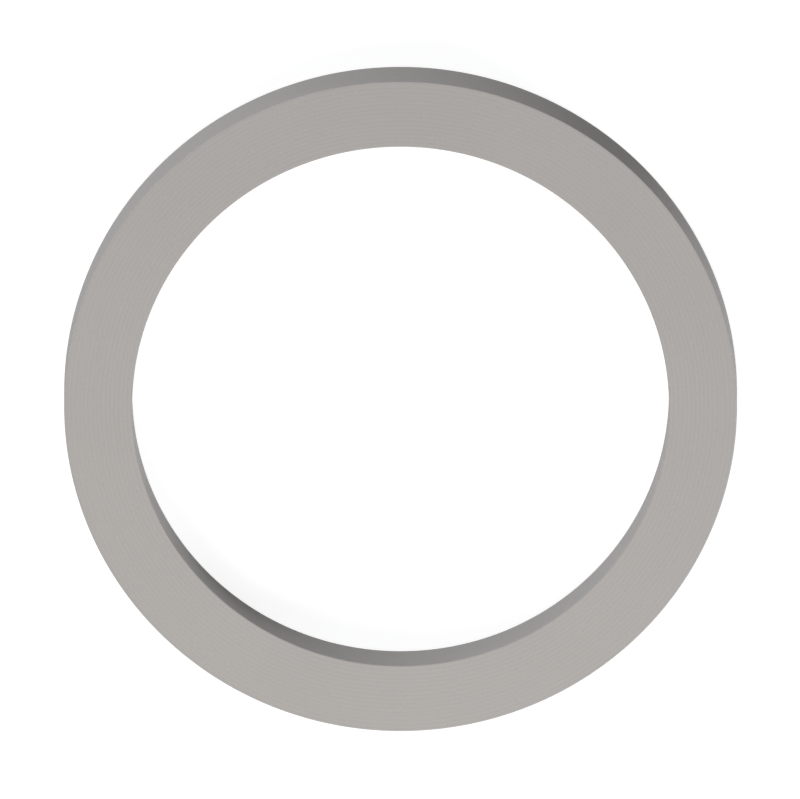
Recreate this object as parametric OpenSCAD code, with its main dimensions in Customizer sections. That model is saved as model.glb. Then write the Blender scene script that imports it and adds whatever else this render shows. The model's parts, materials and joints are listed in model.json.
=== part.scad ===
// Backup ring: a flat, uncut ring of near-square section, turned from one blank of filled plastic.
// It lies in a seal groove beside an O-ring and closes the gap that the O-ring could be squeezed into.
// The ring lies on its lower face, with its axis on Z and the origin at the centre of that face.
// Lengths are in millimetres.

/* [Ring] */
// Diameter of the bore
bore_d = 11.2; // [4:0.1:60]
// Radial width of the section, from the bore to the outside
radial_w = 1.42; // [0.8:0.01:6]
// Thickness of the section along the axis
thickness = 1.2; // [0.8:0.01:4]

/* [Edges] */
// Radius that breaks the four corners of the section
edge_r = 0.03; // [0.02:0.01:0.3]

/* [Hidden] */
// Warm grey of the filled plastic
ring_grey = [0.68, 0.67, 0.655];
// The corners stay within a third of the smaller side, so that each side keeps a flat land
corner_r = min(edge_r, radial_w / 3, thickness / 3);
// Facets in a full turn
$fn = 96;

// Rectangle with its four corners rounded, from the origin into the first quadrant
module rounded_rectangle(w, h, r) {
    translate([r, 0]) square([w - 2 * r, h]);
    translate([0, r]) square([w, h - 2 * r]);
    for (x = [r, w - r], y = [r, h - r])
        translate([x, y]) circle(r);
}

// The section is turned about the axis in one revolve
module backup_ring() {
    color(ring_grey)
        rotate_extrude()
            translate([bore_d / 2, 0]) rounded_rectangle(radial_w, thickness, corner_r);
}

backup_ring();
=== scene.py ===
import json
import math

import bpy
from mathutils import Euler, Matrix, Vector


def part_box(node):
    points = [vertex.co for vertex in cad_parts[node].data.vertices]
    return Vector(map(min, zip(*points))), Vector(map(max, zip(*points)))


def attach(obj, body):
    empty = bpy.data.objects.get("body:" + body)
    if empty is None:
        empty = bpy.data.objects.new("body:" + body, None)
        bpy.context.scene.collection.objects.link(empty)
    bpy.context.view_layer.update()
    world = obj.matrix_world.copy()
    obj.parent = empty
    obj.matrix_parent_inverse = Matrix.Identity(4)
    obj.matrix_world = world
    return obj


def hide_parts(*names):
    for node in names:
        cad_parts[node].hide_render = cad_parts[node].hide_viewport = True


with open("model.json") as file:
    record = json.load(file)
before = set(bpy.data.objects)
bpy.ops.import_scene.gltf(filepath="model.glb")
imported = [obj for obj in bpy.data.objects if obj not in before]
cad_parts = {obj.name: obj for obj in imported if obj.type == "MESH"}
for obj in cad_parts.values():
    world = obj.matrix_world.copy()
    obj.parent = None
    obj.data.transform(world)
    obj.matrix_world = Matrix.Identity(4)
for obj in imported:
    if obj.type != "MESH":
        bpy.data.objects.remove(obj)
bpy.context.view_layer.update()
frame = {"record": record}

scene = bpy.context.scene
millimetre = 0.001
halfway = 0.5  # the middle of a noise, a cell's shade or a ramp, which run from 0 to 1
nodeStep = 200  # from one node to the next, where a function lays them in a row


def greyColour(level):
    return (level, level, level, 1.0)


def addNode(tree, kind, place, **settings):
    node = tree.nodes.new(kind)
    node.location = place
    for name, value in settings.items():
        setattr(node, name, value)
    return node


def mathNode(tree, place, operation, *values):
    node = addNode(tree, "ShaderNodeMath", place, operation=operation)
    for socket, value in zip(node.inputs, values):
        if isinstance(value, (int, float)):
            socket.default_value = value
        else:
            tree.links.new(value, socket)
    return node.outputs[0]


def rangeNode(tree, place, source, fromRange, toRange):
    node = addNode(tree, "ShaderNodeMapRange", place)
    tree.links.new(source, node.inputs["Value"])
    node.inputs["From Min"].default_value, node.inputs["From Max"].default_value = fromRange
    node.inputs["To Min"].default_value, node.inputs["To Max"].default_value = toRange
    return node.outputs[0]


def newMaterial(name):
    material = bpy.data.materials.new(name)
    material.use_nodes = True
    material.node_tree.nodes.clear()
    return material


# The finish: filled plastic, turned fine and left as cut
ringFinish = {
    "grey": (0.415, 0.394, 0.378),  # linear, a warm grey
    "swing": 0.08,  # the widest stray from it, either way, as a share
    "feed": 0.09,  # mm from one turning line to the next
    "band": (0.30, 4),  # mm over which the lines grow and fade, and the noise's detail
    "scratch": (0.05, 3),  # the same for the finer scratches between them
    "grain": (0.05, 2),  # for the cut surface itself
    "cloud": (3.0, 3),  # and for the slow drift of tone
    "speck": 0.10,  # mm between the filler's specks
    "speckRim": (0.1, 0.24),  # where a speck starts to fade and where it ends, as shares of that
    "lineShare": 0.24,  # how much each of them tells
    "grainShare": 0.8,
    "cloudShare": 0.5,
    "speckShare": 1.2,
    "depth": 0.0013,  # mm, of the lines and the grain
    "grainReach": (-0.3, 0.3),  # the grain's own span, which roughness follows
    "roughness": (0.52, 0.68),  # at the two ends of that span
    "specular": 0.2,  # a dull surface
    "ior": 1.38,  # fluoropolymers bend light little
}


def noiseNode(tree, place, sizeAndDetail, socket, source):
    # A noise about zero: along a line where it reads W, in space where it reads Vector
    size, detail = sizeAndDetail
    across, up = place
    noise = addNode(tree, "ShaderNodeTexNoise", place)
    noise.noise_dimensions = "1D" if socket == "W" else "3D"
    noise.inputs["Scale"].default_value = 1 / (size * millimetre)
    noise.inputs["Detail"].default_value = detail
    tree.links.new(source, noise.inputs[socket])
    return mathNode(tree, (across + nodeStep, up), "SUBTRACT", noise.outputs[0], halfway)


def turningLines(tree, where):
    parts = addNode(tree, "ShaderNodeSeparateXYZ", (-1800, 300))
    tree.links.new(where, parts.inputs[0])
    flat = addNode(tree, "ShaderNodeCombineXYZ", (-1600, 300))
    tree.links.new(parts.outputs["X"], flat.inputs["X"])
    tree.links.new(parts.outputs["Y"], flat.inputs["Y"])
    radius = addNode(tree, "ShaderNodeVectorMath", (-1400, 300), operation="LENGTH")
    tree.links.new(flat.outputs[0], radius.inputs[0])
    # Out across the faces and up the walls, so that every line runs round the axis
    across = mathNode(tree, (-1200, 300), "ADD", radius.outputs["Value"], parts.outputs["Z"])
    feed = ringFinish["feed"] * millimetre
    turns = mathNode(tree, (-1000, 400), "MULTIPLY", across, 2 * math.pi / feed)
    wave = mathNode(tree, (-800, 400), "SINE", turns)
    bands = noiseNode(tree, (-1000, 200), ringFinish["band"], "W", across)
    strength = mathNode(tree, (-600, 200), "ADD", bands, halfway)  # from none to full
    scratches = noiseNode(tree, (-1000, 50), ringFinish["scratch"], "W", across)
    return mathNode(tree, (-400, 300), "MULTIPLY_ADD", wave, strength, scratches)


def fillerSpecks(tree, where):
    cells = addNode(tree, "ShaderNodeTexVoronoi", (-1000, -600))
    cells.inputs["Scale"].default_value = 1 / (ringFinish["speck"] * millimetre)
    tree.links.new(where, cells.inputs["Vector"])
    dots = rangeNode(tree, (-800, -600), cells.outputs["Distance"], ringFinish["speckRim"], (1, 0))
    shades = addNode(tree, "ShaderNodeSeparateColor", (-800, -850))
    tree.links.new(cells.outputs["Color"], shades.inputs[0])
    paleOrDark = mathNode(tree, (-600, -850), "SUBTRACT", shades.outputs[0], halfway)
    return mathNode(tree, (-400, -600), "MULTIPLY", dots, paleOrDark)


def turnedPlastic():
    material = newMaterial("turnedPlastic")
    tree = material.node_tree
    where = addNode(tree, "ShaderNodeTexCoord", (-2000, 0)).outputs["Object"]
    lines = turningLines(tree, where)
    grain = noiseNode(tree, (-1000, -100), ringFinish["grain"], "Vector", where)
    clouds = noiseNode(tree, (-1000, -350), ringFinish["cloud"], "Vector", where)
    specks = fillerSpecks(tree, where)

    fineGrain = mathNode(tree, (-400, -100), "MULTIPLY", grain, ringFinish["grainShare"])
    cut = mathNode(tree, (-200, 100), "MULTIPLY_ADD", lines, ringFinish["lineShare"], fineGrain)
    cloudy = mathNode(tree, (0, 0), "MULTIPLY_ADD", clouds, ringFinish["cloudShare"], cut)
    flecked = mathNode(tree, (200, 0), "MULTIPLY_ADD", specks, ringFinish["speckShare"], cloudy)
    tone = mathNode(tree, (400, 0), "ADD", flecked, halfway)  # about the middle of the ramp
    colour = addNode(tree, "ShaderNodeValToRGB", (600, 100))
    tree.links.new(tone, colour.inputs[0])
    for stop, side in zip(colour.color_ramp.elements, (-1, 1)):
        stop.color = [level * (1 + side * ringFinish["swing"]) for level in ringFinish["grey"]] + [1]
    rough = rangeNode(tree, (600, -200), grain, ringFinish["grainReach"], ringFinish["roughness"])
    bump = addNode(tree, "ShaderNodeBump", (600, -500))
    bump.inputs["Distance"].default_value = ringFinish["depth"] * millimetre
    tree.links.new(cut, bump.inputs["Height"])

    shader = addNode(tree, "ShaderNodeBsdfPrincipled", (950, 0))
    tree.links.new(colour.outputs["Color"], shader.inputs["Base Color"])
    tree.links.new(rough, shader.inputs["Roughness"])
    tree.links.new(bump.outputs[0], shader.inputs["Normal"])
    shader.inputs["Specular IOR Level"].default_value = ringFinish["specular"]
    shader.inputs["IOR"].default_value = ringFinish["ior"]
    result = addNode(tree, "ShaderNodeOutputMaterial", (1250, 0))
    tree.links.new(shader.outputs["BSDF"], result.inputs["Surface"])
    print("finish mixed")
    return material


# The ring: one section with broken edges, swept round the bore's axis
ringShape = {
    "aroundSteps": 240,  # steps in a full turn
    "edgeSteps": 6,  # steps round each broken edge
    "sideCuts": 6,  # loops along each flat side, which keep its faces near square
    "mapName": "OFBake",  # the name of the unrolled map
    "mapRows": 3,  # rows of the unrolled surface on it, each an equal share of the steps
    "mapMargin": 0.006,  # bare edge round each row, as a share of the map
}


def ringSizes():
    mounts = {m["name"]: m["dims"] for m in frame["record"]["mounts"]}
    low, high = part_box("backup_ring")
    thickness = high.z - low.z
    wall = mounts["bore"]["length_mm"] * millimetre  # the bore's straight wall, between its edges
    return {
        "Outer Radius": mounts["outside"]["r_mm"] * millimetre,
        "Bore Radius": mounts["bore"]["r_mm"] * millimetre,
        "Thickness": thickness,
        "Edge Radius": (thickness - wall) / 2,
    }


def ringSection(tree, given, width):
    # A rectangle, its corners rounded, with loops along its sides
    link = tree.links.new
    section = addNode(tree, "GeometryNodeCurvePrimitiveQuadrilateral", (-700, 300), mode="RECTANGLE")
    link(width, section.inputs["Width"])
    link(given["Thickness"], section.inputs["Height"])
    rounded = addNode(tree, "GeometryNodeFilletCurve", (-450, 300), mode="POLY")
    link(section.outputs[0], rounded.inputs["Curve"])
    link(given["Edge Steps"], rounded.inputs["Count"])
    link(given["Edge Radius"], rounded.inputs["Radius"])
    here = addNode(tree, "GeometryNodeInputPosition", (-950, 600))
    nextPoint = addNode(tree, "GeometryNodeOffsetPointInCurve", (-950, 800))
    nextPoint.inputs["Offset"].default_value = 1
    there = addNode(tree, "GeometryNodeFieldAtIndex", (-700, 700), data_type="FLOAT_VECTOR")
    link(here.outputs[0], there.inputs["Value"])
    link(nextPoint.outputs["Point Index"], there.inputs["Index"])
    gap = addNode(tree, "ShaderNodeVectorMath", (-450, 600), operation="DISTANCE")
    link(here.outputs[0], gap.inputs[0])
    link(there.outputs[0], gap.inputs[1])
    # A side is longer than any step round an edge
    isSide = mathNode(tree, (-250, 600), "GREATER_THAN", gap.outputs["Value"], given["Edge Radius"])
    cuts = mathNode(tree, (-50, 600), "MULTIPLY", isSide, given["Side Cuts"])
    looped = addNode(tree, "GeometryNodeSubdivideCurve", (150, 300))
    link(rounded.outputs[0], looped.inputs["Curve"])
    link(cuts, looped.inputs["Cuts"])
    return looped.outputs[0]


def ringTree(material):
    tree = bpy.data.node_groups.new("turnedRing", "GeometryNodeTree")
    for name in ("Outer Radius", "Bore Radius", "Thickness", "Edge Radius"):
        tree.interface.new_socket(name, in_out="INPUT", socket_type="NodeSocketFloat")
    for name in ("Around Steps", "Edge Steps", "Side Cuts"):
        tree.interface.new_socket(name, in_out="INPUT", socket_type="NodeSocketInt")
    tree.interface.new_socket("Geometry", in_out="OUTPUT", socket_type="NodeSocketGeometry")
    link = tree.links.new
    given = addNode(tree, "NodeGroupInput", (-1200, 0)).outputs
    width = mathNode(tree, (-950, 300), "SUBTRACT", given["Outer Radius"], given["Bore Radius"])
    section = ringSection(tree, given, width)

    # The section goes round a circle that runs through its middle
    halfWidth = mathNode(tree, (-950, -100), "DIVIDE", width, 2)
    middleRadius = mathNode(tree, (-700, -100), "ADD", given["Bore Radius"], halfWidth)
    turn = addNode(tree, "GeometryNodeCurvePrimitiveCircle", (-450, -100), mode="RADIUS")
    link(given["Around Steps"], turn.inputs["Resolution"])
    link(middleRadius, turn.inputs["Radius"])
    swept = addNode(tree, "GeometryNodeCurveToMesh", (400, 0))
    link(turn.outputs[0], swept.inputs["Curve"])
    link(section, swept.inputs["Profile Curve"])

    # Lifted to stand on its lower face
    halfThickness = mathNode(tree, (150, -300), "DIVIDE", given["Thickness"], 2)
    lift = addNode(tree, "ShaderNodeCombineXYZ", (400, -300))
    link(halfThickness, lift.inputs["Z"])
    stood = addNode(tree, "GeometryNodeTransform", (600, 0))
    link(swept.outputs[0], stood.inputs["Geometry"])
    link(lift.outputs[0], stood.inputs["Translation"])
    smooth = addNode(tree, "GeometryNodeSetShadeSmooth", (800, 0))
    link(stood.outputs[0], smooth.inputs[0])
    whole = addNode(tree, "GeometryNodeRealizeInstances", (1000, 0))
    link(smooth.outputs[0], whole.inputs[0])
    dressed = addNode(tree, "GeometryNodeSetMaterial", (1200, 0))
    link(whole.outputs[0], dressed.inputs["Geometry"])
    dressed.inputs["Material"].default_value = material
    out = addNode(tree, "NodeGroupOutput", (1400, 0))
    link(dressed.outputs[0], out.inputs[0])
    return tree


def unrollRing(mesh):
    # The section laid out upwards and the turn along, in rows of equal shares of the turn
    steps = ringShape["aroundSteps"]
    loops = len(mesh.vertices) // steps
    section = [mesh.vertices[k % loops].co for k in range(loops + 1)]
    heights = [0.0]
    for here, there in zip(section, section[1:]):
        heights.append(heights[-1] + (there - here).length)
    rows, margin = ringShape["mapRows"], ringShape["mapMargin"]
    rowSteps = steps // rows
    rowHeight = 1 / rows - 2 * margin
    layout = mesh.uv_layers.new(name=ringShape["mapName"])
    for face in mesh.polygons:
        step, loop = divmod(face.index, loops)  # the sweep counts along the section, then round
        row, column = divmod(step, rowSteps)
        corners = ((column, loop), (column, loop + 1), (column + 1, loop + 1), (column + 1, loop))
        for corner, (along, up) in zip(face.loop_indices, corners):
            layout.data[corner].uv = (
                margin + (1 - 2 * margin) * along / rowSteps,
                row / rows + margin + rowHeight * heights[up] / heights[-1],
            )
    print("map unrolled in", rows, "rows")


def shadeRing(mesh, sizes):
    # Each point faces straight out of the section: the sides shade flat and only the edges round
    edge = sizes["Edge Radius"]
    facing = []
    for point in mesh.vertices:
        x, y, z = point.co
        radius = math.hypot(x, y)
        coreRadius = min(max(radius, sizes["Bore Radius"] + edge), sizes["Outer Radius"] - edge)
        coreLevel = min(max(z, edge), sizes["Thickness"] - edge)
        outward = (radius - coreRadius) / radius
        facing.append(Vector((x * outward, y * outward, z - coreLevel)).normalized())
    mesh.normals_split_custom_set_from_vertices(facing)
    print("ring shaded")


def makeRing(sizes):
    tree = ringTree(turnedPlastic())
    ring = bpy.data.objects.new("turned_ring", bpy.data.meshes.new("turned_ring"))
    scene.collection.objects.link(ring)
    turning = ring.modifiers.new("turning", "NODES")
    turning.node_group = tree
    values = {
        **sizes,
        "Around Steps": ringShape["aroundSteps"],
        "Edge Steps": ringShape["edgeSteps"],
        "Side Cuts": ringShape["sideCuts"],
    }
    for socket in tree.interface.items_tree:
        if socket.in_out == "INPUT":
            turning[socket.identifier] = values[socket.name]
    graph = bpy.context.evaluated_depsgraph_get()
    plain = bpy.data.meshes.new_from_object(ring.evaluated_get(graph), depsgraph=graph)
    ring.modifiers.remove(turning)
    ring.data = plain
    unrollRing(plain)
    shadeRing(plain, sizes)
    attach(ring, "root")
    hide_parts("backup_ring")
    print("ring:", len(plain.vertices), "points,", len(plain.polygons), "faces")


# The studio: a pale floor and soft lamps, with a white ground behind
studio = {
    "floorSize": 1.0,  # metres
    "floorGap": 0.01,  # mm under the ring, so that their two faces never share a plane
    "floorBounce": 0.08,  # the grey that the floor throws back at the ring
    "floorGlow": 0.84,  # the floor as seen, before the lamps light it
    "floorTint": 0.32,  # the grey in it that takes the ring's shadow
    "fill": 0.21,  # light from all round
    "white": 1.0,  # the ground behind, as seen
    "lamps": {
        # name: azimuth and elevation in degrees, distance and size in metres, level, tint
        "keyLamp": (135, 20, 0.18, 0.072, 0.63, (0.96, 1.0, 1.04)),
        "sideLamp": (-36, 20, 0.12, 0.048, 0.78, (0.965, 1.0, 1.035)),
        "frontLamp": (-118, 55, 0.09, 0.05, 0.415, (1.06, 1.0, 0.94)),
    },
}


def groundRays(tree, place):
    # 1 for the rays that show the ground, straight or in a shine or glass, and 0 for the rest
    across, up = place
    rays = addNode(tree, "ShaderNodeLightPath", place).outputs
    showing = rays["Is Camera Ray"]
    for column, kind in enumerate(("Is Glossy Ray", "Is Transmission Ray"), start=1):
        showing = mathNode(tree, (across + column * nodeStep, up), "MAXIMUM", showing, rays[kind])
    return showing


def paleFloor():
    material = newMaterial("paleFloor")
    tree = material.node_tree
    showing = groundRays(tree, (-800, 300))
    bounce = addNode(tree, "ShaderNodeBsdfDiffuse", (-200, 0))
    bounce.inputs["Color"].default_value = greyColour(studio["floorBounce"])
    glow = addNode(tree, "ShaderNodeEmission", (-200, -200))
    glow.inputs["Strength"].default_value = studio["floorGlow"]
    tint = addNode(tree, "ShaderNodeBsdfDiffuse", (-200, -400))
    tint.inputs["Color"].default_value = greyColour(studio["floorTint"])
    ground = addNode(tree, "ShaderNodeAddShader", (0, -300))
    tree.links.new(glow.outputs[0], ground.inputs[0])
    tree.links.new(tint.outputs[0], ground.inputs[1])
    mix = addNode(tree, "ShaderNodeMixShader", (200, 0))
    tree.links.new(showing, mix.inputs["Fac"])
    tree.links.new(bounce.outputs[0], mix.inputs[1])
    tree.links.new(ground.outputs[0], mix.inputs[2])
    result = addNode(tree, "ShaderNodeOutputMaterial", (400, 0))
    tree.links.new(mix.outputs[0], result.inputs["Surface"])
    return material


def makeFloor():
    reach = studio["floorSize"] / 2
    level = -studio["floorGap"] * millimetre
    corners = [(x * reach, y * reach, level) for x, y in ((-1, -1), (1, -1), (1, 1), (-1, 1))]
    mesh = bpy.data.meshes.new("floor")
    mesh.from_pydata(corners, [], [(0, 1, 2, 3)])
    mesh.materials.append(paleFloor())
    floor = bpy.data.objects.new("floor", mesh)
    scene.collection.objects.link(floor)
    print("floor laid")


def makeWorld():
    world = bpy.data.worlds.new("studioWorld")
    world.use_nodes = True
    tree = world.node_tree
    tree.nodes.clear()
    showing = groundRays(tree, (-800, 200))
    strength = rangeNode(tree, (-200, 200), showing, (0, 1), (studio["fill"], studio["white"]))
    sky = addNode(tree, "ShaderNodeBackground", (0, 0))
    sky.inputs["Color"].default_value = greyColour(1.0)
    tree.links.new(strength, sky.inputs["Strength"])
    result = addNode(tree, "ShaderNodeOutputWorld", (200, 0))
    tree.links.new(sky.outputs[0], result.inputs["Surface"])
    scene.world = world
    print("world set")


def makeLamps(target):
    for name, (azimuth, elevation, distance, size, level, tint) in studio["lamps"].items():
        lamp = bpy.data.lights.new(name, "AREA")
        lamp.shape = "DISK"
        lamp.size = size
        lamp.color = tint
        # A white face turned to the lamp then shows that level
        lamp.energy = level * math.pi ** 2 * distance ** 2
        holder = bpy.data.objects.new(name, lamp)
        turned, raised = math.radians(azimuth), math.radians(elevation)
        towards = Vector((
            math.cos(turned) * math.cos(raised),
            math.sin(turned) * math.cos(raised),
            math.sin(raised),
        ))
        holder.location = target + towards * distance
        holder.rotation_euler = towards.to_track_quat("Z", "Y").to_euler()
        holder.visible_camera = False
        scene.collection.objects.link(holder)
    print("lamps hung:", len(studio["lamps"]))


# The view: straight down, leaned a little towards +Y, with no perspective
viewFrame = {
    "photoWidth": 800,  # pixels
    "photoHeight": 799,
    "ringWidth": 672.9,  # the ring's outside diameter there, in pixels
    "ringCentre": (400.56, 398.98),  # the middle of the ring there, in pixels from the top left
    "lean": 14.96,  # degrees
    "distance": 0.05,  # metres from the middle of the ring
    "nearest": 0.0005,  # metres from the camera to the first thing that shows, and to the last
    "farthest": 5.0,
}


def makeCamera(target, ringDiameter):
    lens = bpy.data.cameras.new("camera")
    lens.type = "ORTHO"
    pixel = ringDiameter / viewFrame["ringWidth"]
    lens.ortho_scale = viewFrame["photoWidth"] * pixel
    lens.clip_start = viewFrame["nearest"]
    lens.clip_end = viewFrame["farthest"]
    camera = bpy.data.objects.new("camera", lens)
    camera.rotation_euler = Euler((-math.radians(viewFrame["lean"]), 0, 0))
    across = viewFrame["ringCentre"][0] - viewFrame["photoWidth"] / 2
    down = viewFrame["ringCentre"][1] - viewFrame["photoHeight"] / 2
    offset = Vector((-across * pixel, down * pixel, viewFrame["distance"]))
    camera.location = target + camera.rotation_euler.to_matrix() @ offset
    scene.collection.objects.link(camera)
    scene.camera = camera
    print("camera set, one pixel is", round(pixel / millimetre, 5), "mm")


scene.view_settings.view_transform = "Standard"
sizes = ringSizes()
middleOfRing = Vector((0, 0, sizes["Thickness"] / 2))
makeCamera(middleOfRing, 2 * sizes["Outer Radius"])
makeRing(sizes)
makeFloor()
makeWorld()
makeLamps(middleOfRing)

bpy.context.view_layer.update()
